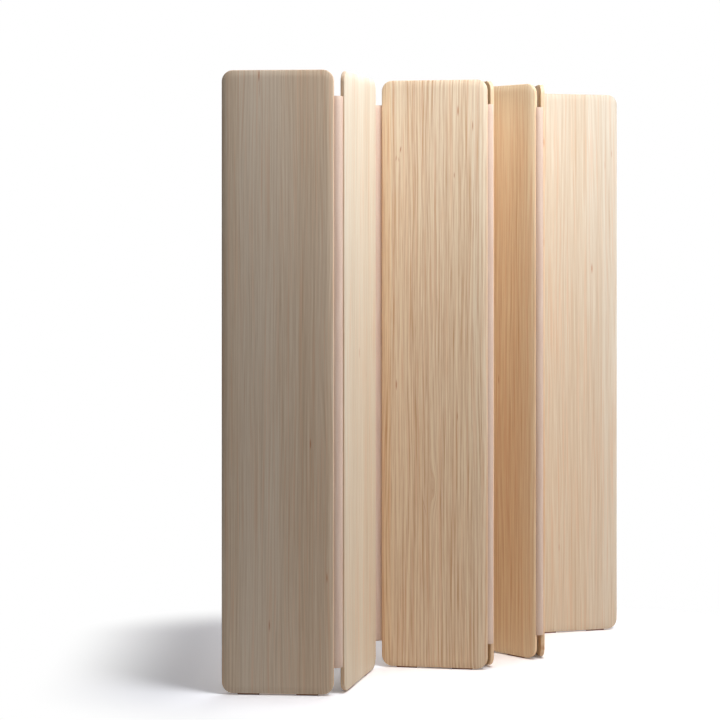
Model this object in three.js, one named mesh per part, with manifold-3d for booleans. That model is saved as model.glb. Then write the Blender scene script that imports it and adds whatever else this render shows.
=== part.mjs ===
// Folding floor screen: seven flat pine boards that stand on felt pads and are joined edge to
// edge by strips of leather. Each strip is glued into a stopped groove in the middle of the
// boards' edges, so every fold opens both ways until two boards lie flat against each other.
// Millimetres, +Z up. Along the screen the boards run from left to right, and +Y points away
// from its front. The origin is on the floor, in the middle of the screen's footprint.

import * as THREE from 'three';
import { mergeVertices } from 'three/addons/utils/BufferGeometryUtils.js';
import Module from 'manifold-3d';

// ---- Boards ----
const boardWidth = 307;
const boardHeight = 1700;
const boardThickness = 18; // in the middle
const rimWidth = 21; // of the band along the edges where both faces fall away
const rimDrop = 3; // how far each face has fallen when it meets the arris
const cornerRadius = 31; // of the board's outline
const arrisRadius = 2.5;

// ---- Leather strips ----
const stripThickness = 2.5;
const stripInset = 71; // from a board's top and bottom to the strip's ends
const tongueDepth = 14; // of leather glued into each groove
const bendLead = 5; // from a board's edge to the line that the fold turns about
const foldedGap = 2; // air between two boards folded flat against each other
const grooveClearance = 0.3; // all round the leather

// ---- Felt pads, two under each board ----
const padLength = 60;
const padThickness = 3.2;
const padInset = 43; // from a board's edge to its nearest pad
const padCornerRadius = 1.5;
const glueLine = 0.3; // between a pad and its board

// ---- The way it stands, seen from above: degrees, positive to the left ----
const firstHeading = -3.5;
const folds = [76.7, -81.0, 119.3, -152.8, 138.2, -83.1];

// ---- Worked out from the sizes above ----
const pivotSpan = boardThickness + foldedGap; // between the two lines that one fold turns about
const boardFoot = padThickness + glueLine; // the board's lower edge, above the floor
const rimSlope = 2 * Math.atan(rimDrop / rimWidth); // of a face where it meets the arris
const edgeThickness = boardThickness - 2 * rimDrop;
const arris = Math.min(arrisRadius, 0.3 * edgeThickness);
const padWidth = edgeThickness - 2 * arris; // the flat left between the two arrises
const stripHeight = boardHeight - 2 * stripInset;
const grooveDepth = tongueDepth + grooveClearance;
const grooveWidth = stripThickness + 2 * grooveClearance;
const grooveHeight = stripHeight + 2 * grooveClearance;

// ---- How finely curves are drawn ----
const cornerSteps = 4;
const arrisSteps = 3;
const rimSteps = 4;
const sharpestCorner = 1; // of the rings that the rim of a board is lofted through
const bendStep = THREE.MathUtils.degToRad(9);
const flatFold = THREE.MathUtils.degToRad(0.5); // below this a strip is drawn straight
const cutMargin = 2; // how far a cutter stands out of the face that it opens

const wasm = await Module();
wasm.setup();

/** A closed three.js geometry as a solid that can be cut. */
function toSolid(geometry) {
  const bare = geometry.clone();
  bare.deleteAttribute('normal');
  bare.deleteAttribute('uv');
  const merged = mergeVertices(bare);
  return new wasm.Manifold(new wasm.Mesh({
    numProp: 3,
    vertProperties: new Float32Array(merged.attributes.position.array),
    triVerts: new Uint32Array(merged.index.array),
  }));
}

/** The solid's surface as a three.js geometry. */
function toGeometry(solid) {
  const mesh = solid.getMesh();
  const geometry = new THREE.BufferGeometry();
  geometry.setAttribute('position', new THREE.BufferAttribute(mesh.vertProperties, 3));
  geometry.setIndex(new THREE.BufferAttribute(mesh.triVerts, 1));
  geometry.computeVertexNormals();
  return geometry;
}

/** A rectangle with round corners, centred on the origin. */
function roundedRectangle(width, height, radius) {
  const x = width / 2 - radius;
  const y = height / 2 - radius;
  const quarter = Math.PI / 2;
  const shape = new THREE.Shape();
  shape.absarc(x, y, radius, 0, quarter);
  shape.absarc(-x, y, radius, quarter, 2 * quarter);
  shape.absarc(-x, -y, radius, 2 * quarter, 3 * quarter);
  shape.absarc(x, -y, radius, 3 * quarter, 4 * quarter);
  shape.closePath();
  return shape;
}

/**
 * Half of the section through a board's edge, from the middle of the edge out to the face: how
 * far in from the edge and how high above the board's middle plane each point is. A small arc
 * rounds the arris, and a wide one tangent to it carries on until it is level with the face.
 */
function edgeSection() {
  const section = [];
  const arrisHeight = edgeThickness / 2 - arris * Math.cos(rimSlope);
  for (let i = 0; i <= arrisSteps; i++) {
    const turned = (Math.PI / 2 - rimSlope) * i / arrisSteps;
    section.push({
      inset: arris * (1 - Math.cos(turned)),
      height: arrisHeight + arris * Math.sin(turned),
    });
  }
  const innerInset = section.at(-1).inset + rimWidth;
  const rimRadius = rimWidth / Math.sin(rimSlope);
  for (let i = 1; i <= rimSteps; i++) {
    const slope = rimSlope * (1 - i / rimSteps);
    section.push({
      inset: innerInset - rimRadius * Math.sin(slope),
      height: boardThickness / 2 - rimRadius * (1 - Math.cos(slope)),
    });
  }
  return section;
}

/** The board's outline, drawn smaller by inset all round, at a height above its middle plane. */
function outlineRing({ inset, height }) {
  const outline = roundedRectangle(
    boardWidth - 2 * inset, boardHeight - 2 * inset, Math.max(cornerRadius - inset, sharpestCorner));
  const points = outline.getPoints(cornerSteps);
  points.pop(); // it repeats the first one
  return points.map(({ x, y }) => [x, y, height]);
}

/** A closed surface through rings that have as many points each, with a flat at both ends. */
function loft(rings) {
  const count = rings[0].length;
  const index = [];
  for (let start = 0; start < (rings.length - 1) * count; start += count) {
    for (let i = 0; i < count; i++) {
      const a = start + i;
      const b = start + (i + 1) % count;
      index.push(a, b, b + count, a, b + count, a + count);
    }
  }
  const last = (rings.length - 1) * count;
  for (let i = 2; i < count; i++) {
    index.push(0, i, i - 1);
    index.push(last, last + i - 1, last + i);
  }
  const geometry = new THREE.BufferGeometry();
  geometry.setAttribute('position', new THREE.Float32BufferAttribute(rings.flat(2), 3));
  geometry.setIndex(index);
  return geometry;
}

/** The board before its grooves are cut: centred, x across, y through it and z up. */
function boardBlank() {
  const front = edgeSection();
  const back = front.map(({ inset, height }) => ({ inset, height: -height }));
  const blank = loft([...back.reverse(), ...front].map(outlineRing));
  return blank.rotateX(Math.PI / 2);
}

/** The stopped groove in one edge of a board: side is -1 for its first edge and 1 for its second. */
function grooveCutter(side) {
  const cutter = new THREE.BoxGeometry(grooveDepth + cutMargin, grooveWidth, grooveHeight);
  cutter.translate(side * (boardWidth + cutMargin - grooveDepth) / 2, 0, 0);
  return cutter;
}

/** A board with a groove in each edge that a strip joins. */
function boardGeometry(sides) {
  let solid = toSolid(boardBlank());
  for (const side of sides) solid = solid.subtract(toSolid(grooveCutter(side)));
  return toGeometry(solid);
}

/**
 * How the leather bends at a fold: straight for lead, round an arc, and straight again.
 * The radius makes the leather as long at every fold as it is when the boards stand in line.
 */
function bendOf(fold) {
  const half = Math.abs(fold) / 2;
  const radius = pivotSpan * (1 - Math.cos(half)) / (2 * (Math.sin(half) - half * Math.cos(half)));
  const lead = bendLead + pivotSpan / 2 - radius * half;
  return { radius, lead };
}

/**
 * Points along the middle of a strip, each with the way it runs, from the end of one tongue to
 * the end of the other. x leads out of the first board's edge and y to the left.
 */
function stripCentreLine(fold) {
  const line = [{ x: -tongueDepth, y: 0, heading: 0 }];
  if (Math.abs(fold) < flatFold) {
    line.push({ x: 2 * bendLead + pivotSpan + tongueDepth, y: 0, heading: 0 });
    return line;
  }
  const { radius, lead } = bendOf(fold);
  const left = Math.sign(fold);
  const steps = Math.ceil(Math.abs(fold) / bendStep);
  for (let i = 0; i <= steps; i++) {
    const turned = Math.abs(fold) * i / steps;
    line.push({
      x: lead + radius * Math.sin(turned),
      y: left * radius * (1 - Math.cos(turned)),
      heading: left * turned,
    });
  }
  const last = line.at(-1);
  const run = lead + tongueDepth;
  line.push({
    x: last.x + run * Math.cos(fold),
    y: last.y + run * Math.sin(fold),
    heading: fold,
  });
  return line;
}

/** A leather strip: its section seen from above, drawn up to the strip's height. */
function stripGeometry(fold) {
  const beside = (point, offset) => new THREE.Vector2(
    point.x - offset * Math.sin(point.heading), point.y + offset * Math.cos(point.heading));
  const line = stripCentreLine(fold);
  const leftSide = line.map((point) => beside(point, stripThickness / 2));
  const rightSide = line.map((point) => beside(point, -stripThickness / 2));
  const section = new THREE.Shape([...rightSide, ...leftSide.reverse()]);
  return new THREE.ExtrudeGeometry(section, { depth: stripHeight, bevelEnabled: false });
}

/** A felt pad: its foot at z = 0, centred, x along it. */
function padGeometry() {
  const outline = roundedRectangle(padLength, padWidth, padCornerRadius);
  return new THREE.ExtrudeGeometry(outline, {
    depth: padThickness,
    curveSegments: arrisSteps,
    bevelEnabled: false,
  });
}

const pine = () => new THREE.MeshStandardMaterial({ color: 0xdfc49c, roughness: 0.62, metalness: 0 });
const leather = () => new THREE.MeshStandardMaterial({ color: 0xdcbcae, roughness: 0.7, metalness: 0 });
const felt = () => new THREE.MeshStandardMaterial({ color: 0x8a5a48, roughness: 0.95, metalness: 0 });

function piece(name, geometry, material, x, y, z) {
  const mesh = new THREE.Mesh(geometry, material);
  mesh.name = name;
  mesh.position.set(x, y, z);
  return mesh;
}

/** Board number n on its two pads. The group's origin is on the floor, under its first edge. */
function standingBoard(n, sides) {
  const group = new THREE.Group();
  const padMiddle = padInset + padLength / 2;
  group.add(
    piece(`panel_${n}`, boardGeometry(sides), pine(), boardWidth / 2, 0, boardFoot + boardHeight / 2),
    piece(`foot_pad_${n}_a`, padGeometry(), felt(), padMiddle, 0, 0),
    piece(`foot_pad_${n}_b`, padGeometry(), felt(), boardWidth - padMiddle, 0, 0),
  );
  return group;
}

/** Strip number n, in the group of the board that its first tongue is glued into. */
function hingeStrip(n, fold) {
  return piece(
    `hinge_strip_${n}`, stripGeometry(fold), leather(), boardWidth, 0, boardFoot + stripInset);
}

/**
 * Carries the next board on a fold: the leather turns it half the angle about a line near the
 * first board's edge and half about a line near its own.
 */
function joinBoards(board, next, fold) {
  const firstBend = new THREE.Group();
  const secondBend = new THREE.Group();
  firstBend.position.x = boardWidth + bendLead;
  firstBend.rotation.z = fold / 2;
  secondBend.position.x = pivotSpan;
  secondBend.rotation.z = fold / 2;
  next.position.x = bendLead;
  board.add(firstBend);
  firstBend.add(secondBend);
  secondBend.add(next);
}

/** The whole screen, board after board, with the middle of its footprint on the origin. */
function foldingScreen() {
  const angles = folds.map(THREE.MathUtils.degToRad);
  const boards = Array.from({ length: angles.length + 1 }, (_, i) => {
    const sides = [];
    if (i > 0) sides.push(-1);
    if (i < angles.length) sides.push(1);
    return standingBoard(i + 1, sides);
  });
  boards[0].rotation.z = THREE.MathUtils.degToRad(firstHeading);
  angles.forEach((fold, i) => {
    boards[i].add(hingeStrip(i + 1, fold));
    joinBoards(boards[i], boards[i + 1], fold);
  });
  const screen = new THREE.Group();
  screen.name = 'folding_screen';
  screen.add(boards[0]);
  const middle = new THREE.Box3().setFromObject(screen, true).getCenter(new THREE.Vector3());
  screen.position.set(-middle.x, -middle.y, 0);
  screen.updateMatrixWorld(true);
  return screen;
}

const screen = foldingScreen();

export default screen;
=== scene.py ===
"""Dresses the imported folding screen: pine boards, leather strip hinges and felt pads.

Metres, +Z up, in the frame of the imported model. The boards run from left to right.
"""

import math

import bmesh
import bpy
from mathutils import Matrix, Vector


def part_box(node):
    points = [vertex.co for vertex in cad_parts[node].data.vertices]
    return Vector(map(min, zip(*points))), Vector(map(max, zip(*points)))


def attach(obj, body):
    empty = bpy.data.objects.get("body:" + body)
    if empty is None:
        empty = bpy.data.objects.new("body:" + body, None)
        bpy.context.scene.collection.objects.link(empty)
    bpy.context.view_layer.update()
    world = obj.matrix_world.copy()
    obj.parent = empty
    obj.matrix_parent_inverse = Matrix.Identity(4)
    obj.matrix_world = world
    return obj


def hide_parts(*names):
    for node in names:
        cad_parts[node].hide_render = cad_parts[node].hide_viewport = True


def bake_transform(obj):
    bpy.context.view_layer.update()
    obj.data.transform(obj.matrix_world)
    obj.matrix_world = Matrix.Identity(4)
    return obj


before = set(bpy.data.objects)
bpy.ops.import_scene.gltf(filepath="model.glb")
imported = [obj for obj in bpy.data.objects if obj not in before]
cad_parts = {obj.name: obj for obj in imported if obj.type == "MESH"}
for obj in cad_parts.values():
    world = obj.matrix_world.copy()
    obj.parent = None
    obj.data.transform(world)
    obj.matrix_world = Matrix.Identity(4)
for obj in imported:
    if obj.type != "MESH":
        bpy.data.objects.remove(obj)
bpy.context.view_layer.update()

# ---- The sizes of the CAD model, in metres ----
BOARD_WIDTH = 0.307
BOARD_HEIGHT = 1.7
BOARD_THICKNESS = 0.018
RIM_WIDTH = 0.021
RIM_DROP = 0.003
CORNER_RADIUS = 0.031
ARRIS_RADIUS = 0.0025
STRIP_THICKNESS = 0.0025
STRIP_INSET = 0.071
TONGUE_DEPTH = 0.014
BEND_LEAD = 0.005
PIVOT_SPAN = 0.020
GROOVE_CLEARANCE = 0.0003
PAD_LENGTH = 0.060
PAD_WIDTH = 0.007
PAD_THICKNESS = 0.0032
PAD_INSET = 0.043
GLUE_LINE = 0.0003
FIRST_HEADING = -3.5
FOLDS = (76.7, -81.0, 119.3, -152.8, 138.2, -83.1)

BOARD_FOOT = PAD_THICKNESS + GLUE_LINE
EDGE_HALF = BOARD_THICKNESS / 2 - RIM_DROP
STRIP_HEIGHT = BOARD_HEIGHT - 2 * STRIP_INSET
STRIP_FREE = 2 * BEND_LEAD + PIVOT_SPAN
PAD_MIDDLE = PAD_INSET + PAD_LENGTH / 2

# ---- How finely the meshes are drawn ----
ARRIS_STEPS = 5
RIM_STEPS = 8
CORNER_STEPS = 12
PAD_CORNER_STEPS = 4
STRIP_ROWS = 60
STRIP_STEP = 0.001
CUTTER_OVERSHOOT = 0.002

# ---- Small roundings that only the looks have ----
PAD_CORNER = 0.0015
STRIP_EASE = 0.0007
PAD_SECTION = (
    (0.0005, 0),
    (0.00015, 0.0002),
    (0, 0.0006),
    (0, 0.0028),
    (0.0002, PAD_THICKNESS),
)


# ---- Where each board stands ----
def heading_vector(degrees):
    angle = math.radians(degrees)
    return Vector((math.cos(angle), math.sin(angle), 0))


def layout():
    """The start and heading of each board, and its place as a matrix: x along it and z up."""
    start, heading = Vector((0, 0, 0)), FIRST_HEADING
    places = [(start, heading)]
    for fold in FOLDS:
        end = start + (BOARD_WIDTH + BEND_LEAD) * heading_vector(heading)
        end = end + PIVOT_SPAN * heading_vector(heading + fold / 2)
        heading += fold
        start = end + BEND_LEAD * heading_vector(heading)
        places.append((start, heading))
    low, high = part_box("foot_pad_1_a")
    moved = (low + high) / 2 - PAD_MIDDLE * heading_vector(FIRST_HEADING)
    moved.z = 0
    return [
        Matrix.Translation(start + moved) @ Matrix.Rotation(math.radians(heading), 4, "Z")
        for start, heading in places
    ]


PLACES = layout()


# ---- Meshes ----
def new_object(name, verts, faces, coordinates, smooth=True):
    """An object at the origin. coordinates, one for each vertex, go along as the attribute
    that its material reads, so a pattern stays on its piece in every pose."""
    mesh = bpy.data.meshes.new(name)
    mesh.from_pydata([tuple(v) for v in verts], [], faces)
    attribute = mesh.attributes.new("grain_at", "FLOAT_VECTOR", "POINT")
    attribute.data.foreach_set("vector", [x for c in coordinates for x in c])
    mesh.polygons.foreach_set("use_smooth", [smooth] * len(mesh.polygons))
    mesh.update()
    obj = bpy.data.objects.new(name, mesh)
    bpy.context.scene.collection.objects.link(obj)
    return obj


def rounded_ring(width, height, radius, steps):
    """Points round a rectangle with round corners, anticlockwise, with its middle at 0."""
    points = []
    for corner in range(4):
        cx = (1 if corner in (0, 3) else -1) * (width / 2 - radius)
        cz = (1 if corner in (0, 1) else -1) * (height / 2 - radius)
        for i in range(steps + 1):
            angle = math.pi / 2 * (corner + i / steps)
            points.append((cx + radius * math.cos(angle), cz + radius * math.sin(angle)))
    return points


def edge_section():
    """Half of the section through a board's edge: (distance in from the edge, height above the
    middle plane), from the start of the arris to the flat of the face."""
    slope = 2 * math.atan(RIM_DROP / RIM_WIDTH)
    arris_height = EDGE_HALF - ARRIS_RADIUS * math.cos(slope)
    section = []
    for i in range(ARRIS_STEPS + 1):
        turned = (math.pi / 2 - slope) * i / ARRIS_STEPS
        section.append(
            (
                ARRIS_RADIUS * (1 - math.cos(turned)),
                arris_height + ARRIS_RADIUS * math.sin(turned),
            )
        )
    inner = section[-1][0] + RIM_WIDTH
    radius = RIM_WIDTH / math.sin(slope)
    for i in range(1, RIM_STEPS + 1):
        left = slope * (1 - i / RIM_STEPS)
        section.append(
            (
                inner - radius * math.sin(left),
                BOARD_THICKNESS / 2 - radius * (1 - math.cos(left)),
            )
        )
    return section


def bridge(rings, count):
    """Faces between rings of count points, that follow each other in one list of points, and one
    face over each end."""
    faces = []
    for r in range(rings - 1):
        for i in range(count):
            a, b = r * count + i, r * count + (i + 1) % count
            faces.append((a, b, b + count, a + count))
    faces.append(tuple(range(count))[::-1])
    faces.append(tuple(range((rings - 1) * count, rings * count)))
    return faces


def cut(obj, cutter):
    """Takes the cutter's shape out of the object, and removes the cutter."""
    modifier = obj.modifiers.new("cut", "BOOLEAN")
    modifier.object = cutter
    modifier.solver = "EXACT"
    bpy.context.view_layer.objects.active = obj
    bpy.ops.object.modifier_apply(modifier=modifier.name)
    bpy.data.objects.remove(cutter)


def groove_cutter(side):
    """The shape of the groove in a board's left edge (side -1) or right edge (side 1)."""
    depth = TONGUE_DEPTH + GROOVE_CLEARANCE
    half_width = STRIP_THICKNESS / 2 + GROOVE_CLEARANCE
    edge = BOARD_WIDTH if side > 0 else 0
    x0, x1 = sorted((edge + side * CUTTER_OVERSHOOT, edge - side * depth))
    z0 = BOARD_FOOT + STRIP_INSET - GROOVE_CLEARANCE
    z1 = z0 + STRIP_HEIGHT + 2 * GROOVE_CLEARANCE
    corners = [(x, y, z) for z in (z0, z1) for y in (-half_width, half_width) for x in (x0, x1)]
    faces = [(0, 2, 3, 1), (4, 5, 7, 6), (0, 1, 5, 4), (2, 6, 7, 3), (0, 4, 6, 2), (1, 3, 7, 5)]
    return new_object("cutter", corners, faces, corners, smooth=False)


def make_board(n, material):
    """Board n: lofted through its rim, with its grooves cut, in its place."""
    half = edge_section()
    section = [(inset, -height) for inset, height in reversed(half)] + half
    verts = []
    for inset, height in section:
        ring = rounded_ring(
            BOARD_WIDTH - 2 * inset,
            BOARD_HEIGHT - 2 * inset,
            CORNER_RADIUS - inset,
            CORNER_STEPS,
        )
        verts += [
            (x + BOARD_WIDTH / 2, -height, z + BOARD_HEIGHT / 2 + BOARD_FOOT) for x, z in ring
        ]
    count = len(verts) // len(section)
    faces = bridge(len(section), count)
    board = new_object(f"board_{n}", verts, faces, [(x, z - BOARD_FOOT, y) for x, y, z in verts])
    for side in (-1, 1):
        if (side < 0 and n > 1) or (side > 0 and n < 7):
            cut(board, groove_cutter(side))
    write_coordinates(board)
    board.data.transform(PLACES[n - 1])
    board.data.materials.clear()
    board.data.materials.append(material)
    sharpen(board)
    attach(board, f"panel_{n}")
    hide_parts(f"panel_{n}")


def write_coordinates(board):
    """The grain's coordinates again after the cuts, which made new points."""
    mesh = board.data
    attribute = mesh.attributes["grain_at"]
    for v in mesh.vertices:
        attribute.data[v.index].vector = (v.co.x, v.co.z - BOARD_FOOT, v.co.y)


def sharpen(obj, degrees=35):
    """Keeps the edges that a cut made sharp, and shades the rest smooth."""
    bm = bmesh.new()
    bm.from_mesh(obj.data)
    for edge in bm.edges:
        edge.smooth = edge.calc_face_angle(0) < math.radians(degrees)
    for face in bm.faces:
        face.smooth = True
    bm.to_mesh(obj.data)
    bm.free()


def centre_line(fold):
    """Points along a strip with the way it runs and how far along it they are, from the end of
    one tongue to the end of the other. They start at the near board's right edge."""
    bend = math.radians(abs(fold))
    half = bend / 2
    radius = PIVOT_SPAN * (1 - math.cos(half)) / (2 * (math.sin(half) - half * math.cos(half)))
    lead = BEND_LEAD + PIVOT_SPAN / 2 - radius * half
    left = math.copysign(1, fold)
    line = []
    count = round((STRIP_FREE + 2 * TONGUE_DEPTH) / STRIP_STEP)
    for i in range(count + 1):
        along = -TONGUE_DEPTH + (STRIP_FREE + 2 * TONGUE_DEPTH) * i / count
        turned = min(max((along - lead) / radius, 0), bend)
        x = min(along, lead) + radius * math.sin(turned)
        y = radius * (1 - math.cos(turned))
        run = max(along - lead - radius * bend, 0)
        x += run * math.cos(bend)
        y += run * math.sin(bend)
        line.append((x, left * y, left * turned, along))
    return line


def make_half_strip(n, half, line, material):
    """One half of strip n: near half 0, far half 1. It is built up in many short rows, and
    its top and bottom ends are rounded."""
    ease = STRIP_EASE
    t = STRIP_THICKNESS / 2
    z0 = BOARD_FOOT + STRIP_INSET
    rows = [0, ease * 0.3, ease]
    rows += [
        ease + (STRIP_HEIGHT - 2 * ease) * i / STRIP_ROWS for i in range(1, STRIP_ROWS)
    ]
    rows += [STRIP_HEIGHT - ease, STRIP_HEIGHT - ease * 0.3, STRIP_HEIGHT]
    verts, coordinates = [], []
    for row in rows:
        end = min(row, STRIP_HEIGHT - row)
        thin = t if end >= ease else t - ease * (1 - math.sqrt(1 - (1 - end / ease) ** 2))
        outline = [(p, thin) for p in line] + [(p, -thin) for p in reversed(line)]
        for (x, y, heading, along), offset in outline:
            point = (
                BOARD_WIDTH + x - offset * math.sin(heading),
                y + offset * math.cos(heading),
                z0 + row,
            )
            verts.append(point)
            coordinates.append((along, row, offset))
    faces = bridge(len(rows), 2 * len(line))
    strip = new_object(f"leather_{n}_{'ab'[half]}", verts, faces, coordinates)
    strip.data.transform(PLACES[n - 1])
    strip.data.materials.append(material)
    sharpen(strip, 50)
    return strip


def make_strip(n, material):
    """Strip n as two halves, split at the middle of its bend."""
    fold = FOLDS[n - 1]
    line = centre_line(fold)
    middle = len(line) // 2
    near, far = f"panel_{n}", f"panel_{n + 1}"

    def at(i):
        x, y, _, _ = line[i]
        return PLACES[n - 1] @ Vector((BOARD_WIDTH + x, y, 0))

    edge_near = min(range(len(line)), key=lambda i: abs(line[i][3]))
    edge_far = len(line) - 1 - edge_near
    for half, part, bodies, ends in (
        (0, line[: middle + 1], (near, f"hinge_{n}"), (edge_near, middle)),
        (1, line[middle:], (f"hinge_{n}", far), (middle, edge_far)),
    ):
        strip = make_half_strip(n, half, part, material)
        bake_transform(strip)
        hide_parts(f"hinge_strip_{n}")


def make_pad(n, end, material):
    """A felt pad, its lower edge pressed a little rounder than its upper one."""
    x = PAD_MIDDLE
    if end == "b":
        x = BOARD_WIDTH - x
    verts = []
    for inset, z in PAD_SECTION:
        ring = rounded_ring(
            PAD_LENGTH - 2 * inset, PAD_WIDTH - 2 * inset, PAD_CORNER - inset, PAD_CORNER_STEPS
        )
        verts += [(x + a, b, z) for a, b in ring]
    faces = bridge(len(PAD_SECTION), len(verts) // len(PAD_SECTION))
    pad = new_object(f"felt_{n}_{end}", verts, faces, verts)
    pad.data.transform(PLACES[n - 1])
    pad.data.materials.append(material)
    sharpen(pad, 60)
    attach(pad, f"panel_{n}")
    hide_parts(f"foot_pad_{n}_{end}")


# ---- Materials ----
def srgb(r, g, b):
    """A colour given as it shows on a screen, 0 to 255, for a shader's socket."""
    shares = (r / 255, g / 255, b / 255)
    linear = [c / 12.92 if c < 0.04045 else ((c + 0.055) / 1.055) ** 2.4 for c in shares]
    return (*linear, 1)


class Graph:
    """Short calls for building a material's nodes. A socket or a plain number goes in anywhere."""

    def __init__(self, name):
        self.material = bpy.data.materials.new(name)
        self.material.use_nodes = True
        self.tree = self.material.node_tree
        self.tree.nodes.clear()

    def node(self, kind, inputs=(), **settings):
        made = self.tree.nodes.new("ShaderNode" + kind)
        for key, value in settings.items():
            setattr(made, key, value)
        for key, value in dict(inputs).items():
            self.feed(made.inputs[key], value)
        return made

    def feed(self, socket, value):
        if isinstance(value, bpy.types.NodeSocket):
            self.tree.links.new(value, socket)
        else:
            socket.default_value = value

    def math(self, operation, a, b=0.0, clamp=False):
        made = self.node("Math", operation=operation, use_clamp=clamp)
        for socket, value in zip(made.inputs, (a, b)):
            self.feed(socket, value)
        return made.outputs[0]

    def add(self, a, b):
        return self.math("ADD", a, b)

    def times(self, a, b):
        return self.math("MULTIPLY", a, b)

    def fit(self, value, low, high, to_low=0.0, to_high=1.0, smooth=True):
        made = self.node("MapRange", interpolation_type="SMOOTHSTEP" if smooth else "LINEAR")
        for key, x in zip(range(5), (value, low, high, to_low, to_high)):
            self.feed(made.inputs[key], x)
        return made.outputs[0]

    def vector(self, x, y, z):
        return self.node("CombineXYZ", {0: x, 1: y, 2: z}).outputs[0]

    def noise(self, vector, scale=1.0, detail=2.0, roughness=0.5):
        return self.node(
            "TexNoise", {"Vector": vector, "Scale": scale, "Detail": detail, "Roughness": roughness}
        ).outputs[0]

    def mix(self, factor, a, b, blend="MIX"):
        made = self.node("Mix", data_type="RGBA", blend_type=blend)
        self.feed(made.inputs[0], factor)
        self.feed(made.inputs[6], a)
        self.feed(made.inputs[7], b)
        return made.outputs[2]

    def weigh(self, parts):
        """The sum of (value, weight), added in their order."""
        total = None
        for value, weight in parts:
            part = self.times(value, weight)
            total = part if total is None else self.add(total, part)
        return total

    def coordinates(self):
        at = self.node("Attribute", attribute_name="grain_at").outputs["Vector"]
        return self.node("SeparateXYZ", {0: at}).outputs

    def surface(self, **inputs):
        shader = self.node("BsdfPrincipled", inputs)
        self.node("OutputMaterial", {0: shader.outputs[0]})
        return self.material


def ramp(g, value, rows):
    """A step at each row: (where it starts, and the four numbers from there on)."""
    made = g.node("ValToRGB", {0: value})
    made.color_ramp.interpolation = "CONSTANT"
    steps = made.color_ramp.elements
    for i, (start, *numbers) in enumerate(rows):
        step = steps[0] if i == 0 else steps.new(start)
        step.position = start
        step.color = numbers
    steps.remove(steps[-1])  # the one at 1.0 that every new ramp has
    return *g.node("SeparateColor", {0: made.outputs[0]}).outputs, made.outputs["Alpha"]


# A stave's heart, across from the board's left edge, and its depth, go through a ramp that
# holds numbers from 0 to 1.
HEART_LOW = -0.3
HEART_SPAN = 0.9
HEART_DEPTH = 0.2

# What each part of the grain adds to the dark colour, times the board's own grain.
LATE_WOOD = 0.42
YEAR_RUNS = 1.9
STRONG_LINES = 0.3
AGES = 0.8
FIBRES = 0.35
HAIRS = 0.9
CLOUDS = 0.35  # not times the grain
TONE = 0.8
LIGHTEST_TONE = 0.18
RUN_OFFSET = 0.9
RIPPLE_DEPTH = 0.0014
FLAME_WIDTH, FLAME_HEIGHT, FLAME_LIFT = 0.010, 0.055, 0.014

BLUSH = (232, 180, 138)
# Painted highlight: the tint that makes a board warmer lower down, so that its top reads whiter.
BELOW_HIGHLIGHT_TINT = (255, 240, 226)
# The wood's own warm tone, and on a few staves beside a fold painted bounce light.
WARM_AND_BOUNCE_TINT = (255, 236, 208)
# Painted shade on the boards' edges.
EDGE_SHADE_BROWN = (236, 188, 142)
RESIN = (190, 118, 76)


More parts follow.
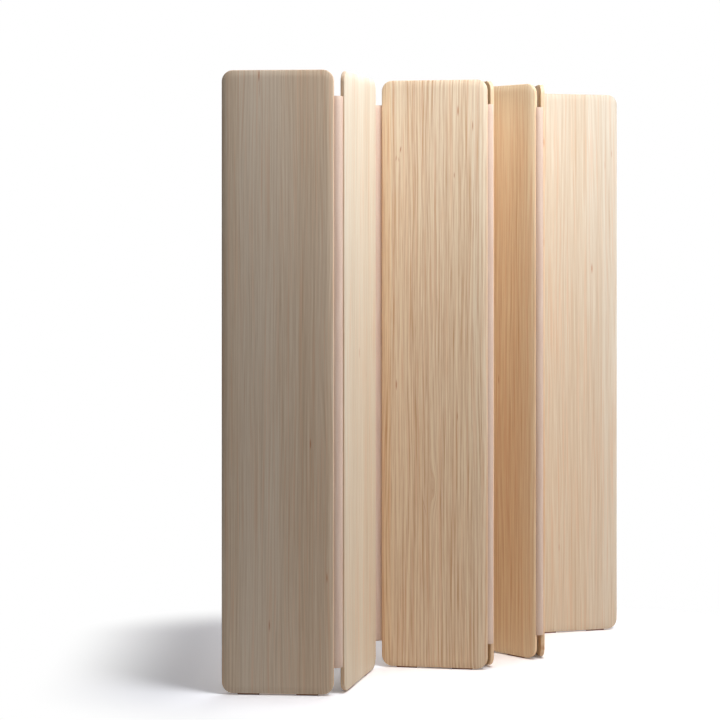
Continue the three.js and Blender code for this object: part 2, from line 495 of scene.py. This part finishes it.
def pine(n, seed, light, dark, grain, year, staves, drift, marks=(), flame=None):
    """Edge-glued pine for board n. Its coordinates are: across, up and through the board.

    staves: where each starts, its tone (0.5 is plain), where its tree's heart lies: across from
    the board's left edge, and how deep, and how warm its colour is; that is the wood's own tone,
    and on the staves beside some folds it is painted bounce light. year: the width of a year
    ring. drift: how much warmer the board gets further down; this is a painted highlight that
    leaves the top whiter. marks: resin streaks, as across, up, lean, half width, half length and
    strength. flame: where across and up the grain closes in an eye. The numbers in the noises'
    vectors are waves per metre, or per year ring.
    """
    g = Graph(f"pine_{n}")
    u, v, w = g.coordinates()
    share = g.math("DIVIDE", u, BOARD_WIDTH)
    tone, heart, deep, warm = ramp(
        g,
        share,
        [
            (start / BOARD_WIDTH, shade, (h - HEART_LOW) / HEART_SPAN, d / HEART_DEPTH, warmth)
            for start, shade, h, d, warmth in staves
        ],
    )
    heart = g.fit(heart, 0, 1, HEART_LOW, HEART_LOW + HEART_SPAN, smooth=False)
    own = g.add(g.times(g.add(tone, heart), 37.0), seed)
    # The year rings: cylinders round a heart that wanders as it goes up.
    sway = g.noise(g.vector(g.times(v, 1.3), own, 0.5), detail=2.0)
    bow = g.noise(g.vector(g.times(v, 0.9), 7.5, own), detail=1.0)
    ripple = g.noise(g.vector(g.times(u, 28.0), g.times(v, 3.0), own), detail=2.0)
    aside = g.add(g.add(u, g.times(heart, -1.0)), g.times(g.add(bow, -0.5), 0.03))
    depth = g.add(g.add(g.times(deep, HEART_DEPTH), w), g.times(g.add(sway, -0.5), 0.05))
    radius = g.math("SQRT", g.add(g.times(aside, aside), g.times(depth, depth)))
    radius = g.add(radius, g.times(ripple, RIPPLE_DEPTH))
    if flame:
        du = g.math("DIVIDE", g.add(u, -flame[0]), FLAME_WIDTH)
        dv = g.math("DIVIDE", g.add(v, -flame[1]), FLAME_HEIGHT)
        far = g.add(g.times(du, du), g.times(dv, dv))
        radius = g.add(radius, g.times(g.math("EXPONENT", g.times(far, -1.0)), FLAME_LIFT))
    ring = g.math("DIVIDE", radius, year)
    part = g.math("FRACT", ring)
    late = g.times(g.fit(part, 0.3, 0.9), g.fit(part, 1.0, 0.92))
    count = g.math("FLOOR", ring)
    good = g.node("TexWhiteNoise", {"W": g.add(count, own)}, noise_dimensions="1D").outputs[0]
    late = g.times(late, g.fit(good, 0, 1, 0.2, 1.0, smooth=False))
    # Runs of strong and weak years, each some centimetres long on the face.
    # The difference of two nearby values keeps the narrow lines and drops the broad ones.
    runs = [
        g.noise(g.vector(g.add(g.times(ring, 0.62), shift), g.times(v, 3.4), own), detail=2.0)
        for shift in (0.0, RUN_OFFSET)
    ]
    runs = g.math("SUBTRACT", *runs)
    lines = g.noise(g.vector(g.times(ring, 0.55), g.times(v, 1.8), g.add(own, 9.0)), detail=1.0)
    ages = g.noise(g.vector(g.times(ring, 0.12), g.times(v, 0.8), own), detail=2.0)
    # Fine fibres, longer hairs and a slow drift of tone.
    fibres = g.noise(g.vector(g.times(u, 800.0), g.times(v, 30.0), g.times(w, 800.0)), detail=2.0)
    hairs = g.noise(g.vector(g.times(u, 320.0), g.times(v, 11.0), g.times(w, 200.0)), detail=2.0)
    clouds = g.noise(g.vector(g.times(u, 11.0), g.times(v, 1.7), own), detail=2.0)
    amount = g.weigh(
        (
            (late, LATE_WOOD * grain),
            (runs, YEAR_RUNS * grain),
            (g.fit(lines, 0.6, 0.72), STRONG_LINES * grain),
            (g.add(ages, -0.5), AGES * grain),
            (g.add(fibres, -0.5), FIBRES * grain),
            (g.add(hairs, -0.5), HAIRS * grain),
            (g.add(clouds, -0.5), CLOUDS),
        )
    )
    plain = g.times(g.add(tone, -LIGHTEST_TONE), TONE)
    amount = g.math("ADD", amount, plain, clamp=True)
    colour = g.mix(amount, srgb(*light), srgb(*dark))
    blush = g.noise(g.vector(g.times(ring, 0.55), g.times(v, 2.5), g.add(own, 3.0)), detail=2.0)
    colour = g.mix(g.times(g.fit(blush, 0.48, 0.7), 0.25), colour, srgb(*BLUSH))
    # Painted highlight: the board is tinted warmer further down, so that its top reads whiter, as
    # under the lamps' sheen.
    lower = g.fit(v, 1.65, 0.5, 0.0, drift, smooth=False)
    colour = g.mix(lower, colour, srgb(*BELOW_HIGHLIGHT_TINT), blend="MULTIPLY")
    # Painted shade: the edges are a little browner than the faces, for the shade on the arris where
    # it turns from the light.
    rim = g.fit(g.math("ABSOLUTE", w), EDGE_HALF + 0.0002, EDGE_HALF - 0.0012)
    # The warmer staves: the wood's own tone, and on a few staves beside a fold painted bounce light
    # from the next board.
    warm = g.times(warm, g.add(g.times(rim, -1.0), 1.0))
    colour = g.mix(warm, colour, srgb(*WARM_AND_BOUNCE_TINT), blend="MULTIPLY")
    colour = g.mix(g.times(rim, 0.4), colour, srgb(*EDGE_SHADE_BROWN))
    # Short resin streaks.
    place = g.vector(g.times(u, 45.0), g.times(v, 6.5), seed)
    dash = g.node("TexVoronoi", {"Vector": place, "Scale": 1.0, "Randomness": 1.0})
    chosen = g.node("SeparateColor", {0: dash.outputs["Color"]}).outputs[0]
    spot = g.times(g.fit(dash.outputs["Distance"], 0.14, 0.02), g.fit(chosen, 0.9, 0.93))
    for at_u, at_v, lean, half_width, half_length, strength in marks:
        up = g.add(v, -at_v)
        du = g.math("DIVIDE", g.add(g.add(u, -at_u), g.times(up, -lean)), half_width)
        dv = g.math("DIVIDE", up, half_length)
        near = g.math("SQRT", g.add(g.times(du, du), g.times(dv, dv)))
        spot = g.math("MAXIMUM", spot, g.fit(near, 1.0, 0.2, 0.0, strength))
    colour = g.mix(g.times(spot, 0.75), colour, srgb(*RESIN))
    height = g.add(late, g.times(fibres, 0.8))
    bump = g.node("Bump", {"Strength": 0.3, "Distance": 0.0002, "Height": height})
    return g.surface(
        **{
            "Base Color": colour,
            "Roughness": g.fit(amount, 0, 1, 0.48, 0.6),
            "Normal": bump.outputs[0],
            "IOR": 1.45,
            "Specular IOR Level": 0.3,
        }
    )


def leather():
    g = Graph("leather")
    u, v, w = g.coordinates()
    place = g.vector(u, v, w)
    streaks = g.noise(g.vector(g.times(u, 90.0), g.times(v, 5.0), g.times(w, 90.0)), detail=3.0)
    fine = g.noise(place, scale=420.0, detail=3.0, roughness=0.6)
    pores = g.node("TexVoronoi", {"Vector": place, "Scale": 900.0}).outputs["Distance"]
    colour = g.mix(g.fit(streaks, 0.3, 0.7), srgb(226, 201, 184), srgb(217, 187, 169))
    colour = g.mix(g.times(g.fit(fine, 0.35, 0.75), 0.25), colour, srgb(206, 172, 154))
    bump = g.node(
        "Bump",
        {"Strength": 0.4, "Distance": 0.0003, "Height": g.add(g.times(fine, 0.7), pores)},
    )
    return g.surface(
        **{
            "Base Color": colour,
            "Roughness": g.fit(fine, 0.2, 0.8, 0.55, 0.75),
            "Normal": bump.outputs[0],
            "Sheen Weight": 0.15,
            "Sheen Roughness": 0.4,
        }
    )


def felt():
    g = Graph("felt")
    u, v, w = g.coordinates()
    place = g.vector(u, v, w)
    fuzz = g.noise(place, scale=1400.0, detail=3.0, roughness=0.7)
    clumps = g.noise(place, scale=240.0, detail=2.0)
    shade = g.fit(g.weigh(((fuzz, 0.6), (clumps, 0.4))), 0.3, 0.7)
    colour = g.mix(shade, srgb(92, 48, 36), srgb(146, 92, 70))
    bump = g.node("Bump", {"Strength": 0.7, "Distance": 0.0004, "Height": fuzz})
    return g.surface(
        **{
            "Base Color": colour,
            "Roughness": 0.95,
            "Normal": bump.outputs[0],
            "Sheen Weight": 0.3,
            "Sheen Roughness": 0.6,
        }
    )


BOARDS = {
    1: dict(
        seed=3.1,
        light=(237, 220, 200),
        dark=(197, 165, 133),
        grain=0.4,
        year=0.0026,
        drift=0.1,
        staves=[
            (0.0, 0.42, -0.16, 0.05, 0.1),
            (0.047, 0.35, -0.12, 0.06, 0.0),
            (0.105, 0.38, 0.30, 0.05, 0.0),
            (0.158, 0.50, 0.33, 0.06, 0.05),
            (0.21, 0.66, 0.05, 0.05, 0.1),
            (0.255, 0.62, 0.42, 0.08, 0.1),
        ],
        marks=[
            (0.1028, 1.685, 0.0, 0.0030, 0.024, 1.0),
            (0.105, 1.650, 0.03, 0.0016, 0.035, 0.5),
            (0.2723, 1.694, 0.0, 0.0020, 0.016, 0.7),
        ],
    ),
    2: dict(
        seed=11.7,
        # Painted highlight: this board's colours are greyer than the others', for the whitish sheen
        # it shows where the lamps light it.
        light=(227, 222, 208),
        dark=(198, 172, 144),
        grain=0.4,
        year=0.0030,
        drift=0.5,
        staves=[
            (0.0, 0.40, -0.12, 0.06, 0.1),
            (0.06, 0.52, 0.21, 0.05, 0.1),
            (0.118, 0.36, 0.00, 0.07, 0.1),
            (0.17, 0.55, 0.33, 0.06, 0.1),
            (0.232, 0.45, 0.12, 0.05, 0.1),
        ],
    ),
    3: dict(
        seed=23.4,
        light=(247, 231, 207),
        dark=(202, 157, 116),
        grain=0.72,
        year=0.0029,
        drift=0.5,
        staves=[
            # Painted bounce light: this narrow stave at the left edge is lighter and warmer, for
            # the light that board 2 throws on it.
            (0.0, 0.32, -0.20, 0.05, 0.45),
            (0.026, 0.41, -0.14, 0.05, 0.1),
            (0.060, 0.50, -0.11, 0.04, 0.1),
            (0.112, 0.50, 0.34, 0.045, 0.05),
            (0.192, 0.45, 0.36, 0.05, 0.1),
            (0.262, 0.38, 0.44, 0.06, 0.0),
        ],
        marks=[
            (0.0556, 1.500, 0.1, 0.0026, 0.013, 1.0),
            (0.0426, 1.474, 0.1, 0.0020, 0.012, 0.8),
            (0.0498, 1.470, -0.1, 0.0018, 0.010, 0.6),
            (0.2114, 1.424, 0.0, 0.0020, 0.012, 0.9),
            (0.2647, 1.567, 0.0, 0.0024, 0.020, 0.9),
            (0.125, 0.465, -0.21, 0.0016, 0.040, 0.6),
        ],
        flame=(0.154, 0.525),
    ),
    4: dict(
        seed=31.9,
        light=(245, 232, 208),
        dark=(206, 167, 128),
        grain=0.5,
        year=0.0030,
        drift=0.5,
        staves=[
            # Painted bounce light: this stave, on the shaded face beside the fold, is much warmer,
            # for the light the boards throw between them.
            (0.0, 0.45, -0.15, 0.05, 0.9),
            (0.055, 0.55, 0.20, 0.06, 0.1),
            (0.11, 0.40, 0.02, 0.08, 0.1),
            (0.165, 0.50, 0.35, 0.05, 0.1),
            (0.225, 0.46, 0.10, 0.06, 0.1),
        ],
    ),
    5: dict(
        seed=44.2,
        light=(247, 230, 200),
        dark=(212, 169, 127),
        grain=0.5,
        year=0.0030,
        drift=0.5,
        staves=[
            (0.0, 0.50, -0.12, 0.05, 0.1),
            (0.052, 0.42, 0.20, 0.05, 0.1),
            (0.108, 0.52, 0.01, 0.06, 0.1),
            (0.165, 0.45, 0.34, 0.05, 0.1),
            (0.214, 0.50, 0.12, 0.06, 0.1),
            (0.262, 0.42, 0.40, 0.06, 0.1),
        ],
    ),
    6: dict(
        seed=52.6,
        light=(245, 232, 208),
        dark=(206, 167, 128),
        grain=0.5,
        year=0.0030,
        drift=0.5,
        staves=[
            # Painted bounce light: this stave, on the shaded face beside the fold, is much warmer,
            # for the light the boards throw between them.
            (0.0, 0.48, -0.15, 0.05, 0.9),
            (0.06, 0.42, 0.25, 0.06, 0.1),
            (0.12, 0.52, 0.03, 0.06, 0.1),
            (0.175, 0.44, 0.34, 0.05, 0.1),
            (0.235, 0.50, 0.12, 0.06, 0.1),
        ],
    ),
    7: dict(
        seed=67.3,
        # Painted highlight: this board's colours are greyer than the others', for the whitish sheen
        # it shows where the lamps light it.
        light=(230, 221, 206),
        dark=(202, 174, 143),
        grain=0.42,
        year=0.0032,
        drift=0.5,
        staves=[
            (0.0, 0.44, -0.12, 0.05, 0.1),
            (0.05, 0.46, 0.20, 0.06, 0.15),
            (0.0974, 0.50, -0.02, 0.05, 0.1),
            (0.143, 0.52, 0.30, 0.06, 0.15),
            (0.205, 0.50, 0.08, 0.05, 0.05),
            (0.2545, 0.34, 0.42, 0.07, 0.0),
        ],
    ),
}

leather_material, felt_material = leather(), felt()
for number, look in BOARDS.items():
    make_board(number, pine(number, **look))
    make_pad(number, "a", felt_material)
    make_pad(number, "b", felt_material)
for number in range(1, 7):
    make_strip(number, leather_material)


# ---- The stage ----
FLOOR_HALF_SIZE = 12
SHADOW_HALF_WIDTH, SHADOW_FADE_X = 0.55, 0.60
SHADOW_HALF_DEPTH, SHADOW_FADE_Y = 0.32, 0.42
PHOTO_SIZE = 720  # pixels
FOCAL_LENGTH = 1721.0  # pixels
HORIZON_ROW = 243.7  # pixels from the top
SENSOR_WIDTH = 36
CAMERA_FROM_BOARD_1 = (0.3773, -4.7017)
CAMERA_HEIGHT = 1.2298
# Each lamp's place, target, size and watts.
LAMPS = {
    "key": ((0.8, -1.0, 2.6), (0, 0, 1.0), (0.9, 1.4), 34.6),
    "top": ((0, -0.3, 4.0), (0, 0, 0), (3.0, 3.0), 37.4),
    "side": ((3.0, -0.5, 0.9), (0, 0, 0.9), (1.6, 1.6), 27.5),
    "back": ((1.0, 3.0, 2.8), (0, 0, 0.9), (2.2, 2.2), 42),
}


def make_floor():
    """A white floor. It takes the object's shadow near its feet, and plain white further out."""
    size = FLOOR_HALF_SIZE
    corners = [(-size, -size, 0), (size, -size, 0), (size, size, 0), (-size, size, 0)]
    floor = new_object("floor", corners, [(0, 1, 2, 3)], corners, smooth=False)
    g = Graph("floor")
    x, y, _ = g.coordinates()
    past_x = g.add(g.math("ABSOLUTE", x), -SHADOW_HALF_WIDTH)
    past_y = g.add(g.math("ABSOLUTE", y), -SHADOW_HALF_DEPTH)
    dx = g.math("DIVIDE", g.math("MAXIMUM", past_x, 0.0), SHADOW_FADE_X)
    dy = g.math("DIVIDE", g.math("MAXIMUM", past_y, 0.0), SHADOW_FADE_Y)
    away = g.math("SQRT", g.add(g.times(dx, dx), g.times(dy, dy)))
    matt = g.node("BsdfDiffuse", {"Color": (0.88, 0.88, 0.88, 1)}).outputs[0]
    open_sky = g.node("AmbientOcclusion", {"Distance": 0.2}, samples=8).outputs["AO"]
    # Painted light and shade: brighter than it is lit, enough to wash out the lamps' shadows in
    # front, but less on the left, where the cast shadow stays dark; darker where the feet shade it,
    # by ambient occlusion; and a little blue, for a cool shadow.
    painted_foot_shade = g.fit(open_sky, 0.4, 1.0, 0.7, 1.0, smooth=False)
    level = g.times(g.fit(x, -0.8, -0.5, 1.35, 1.75), painted_foot_shade)
    colour = g.vector(level, g.times(level, 1.01), g.times(level, 1.065))
    seen = g.node("BsdfDiffuse", {"Color": colour}).outputs[0]
    white = g.node("Emission", {"Color": (1, 1, 1, 1), "Strength": 1.0}).outputs[0]
    near = g.node("MixShader", {0: g.fit(away, 0.25, 1.0), 1: seen, 2: white}).outputs[0]
    path = g.node("LightPath")
    final = g.node("MixShader", {0: path.outputs["Is Camera Ray"], 1: matt, 2: near}).outputs[0]
    g.node("OutputMaterial", {0: final})
    floor.data.materials.append(g.material)


def make_world():
    """White where the camera, a reflection or light through a piece looks past the object, and
    black as a light: the lamps light it."""
    world = bpy.data.worlds.new("studio")
    bpy.context.scene.world = world
    world.use_nodes = True
    nodes, links = world.node_tree.nodes, world.node_tree.links
    nodes.clear()
    path = nodes.new("ShaderNodeLightPath")
    seen = path.outputs["Is Camera Ray"]
    for ray in ("Is Glossy Ray", "Is Transmission Ray"):
        either = nodes.new("ShaderNodeMath")
        either.operation = "MAXIMUM"
        links.new(seen, either.inputs[0])
        links.new(path.outputs[ray], either.inputs[1])
        seen = either.outputs[0]
    mix = nodes.new("ShaderNodeMixShader")
    links.new(seen, mix.inputs[0])
    for socket, strength in ((mix.inputs[1], 0), (mix.inputs[2], 1)):
        background = nodes.new("ShaderNodeBackground")
        background.inputs["Color"].default_value = (1, 1, 1, 1)
        background.inputs["Strength"].default_value = strength
        links.new(background.outputs[0], socket)
    out = nodes.new("ShaderNodeOutputWorld")
    links.new(mix.outputs[0], out.inputs[0])


def make_lamp(name, place, target, size, watts):
    data = bpy.data.lights.new(name, "AREA")
    data.shape = "RECTANGLE"
    data.size, data.size_y = size
    data.energy = watts
    lamp = bpy.data.objects.new(name, data)
    lamp.location = place
    lamp.rotation_euler = (Vector(target) - Vector(place)).to_track_quat("-Z", "Y").to_euler()
    bpy.context.scene.collection.objects.link(lamp)


def make_camera():
    data = bpy.data.cameras.new("camera")
    data.sensor_width = SENSOR_WIDTH
    data.lens = FOCAL_LENGTH / PHOTO_SIZE * SENSOR_WIDTH
    data.shift_y = (HORIZON_ROW - PHOTO_SIZE / 2) / PHOTO_SIZE
    data.clip_end = 60
    camera = bpy.data.objects.new("camera", data)
    start = PLACES[0].translation
    dx, dy = CAMERA_FROM_BOARD_1
    camera.location = (start.x + dx, start.y + dy, CAMERA_HEIGHT)
    camera.rotation_euler = (math.pi / 2, 0, 0)
    bpy.context.scene.collection.objects.link(camera)
    bpy.context.scene.camera = camera


make_floor()
make_world()
for name, lamp in LAMPS.items():
    make_lamp(name, *lamp)
make_camera()
bpy.context.scene.view_settings.view_transform = "Standard"
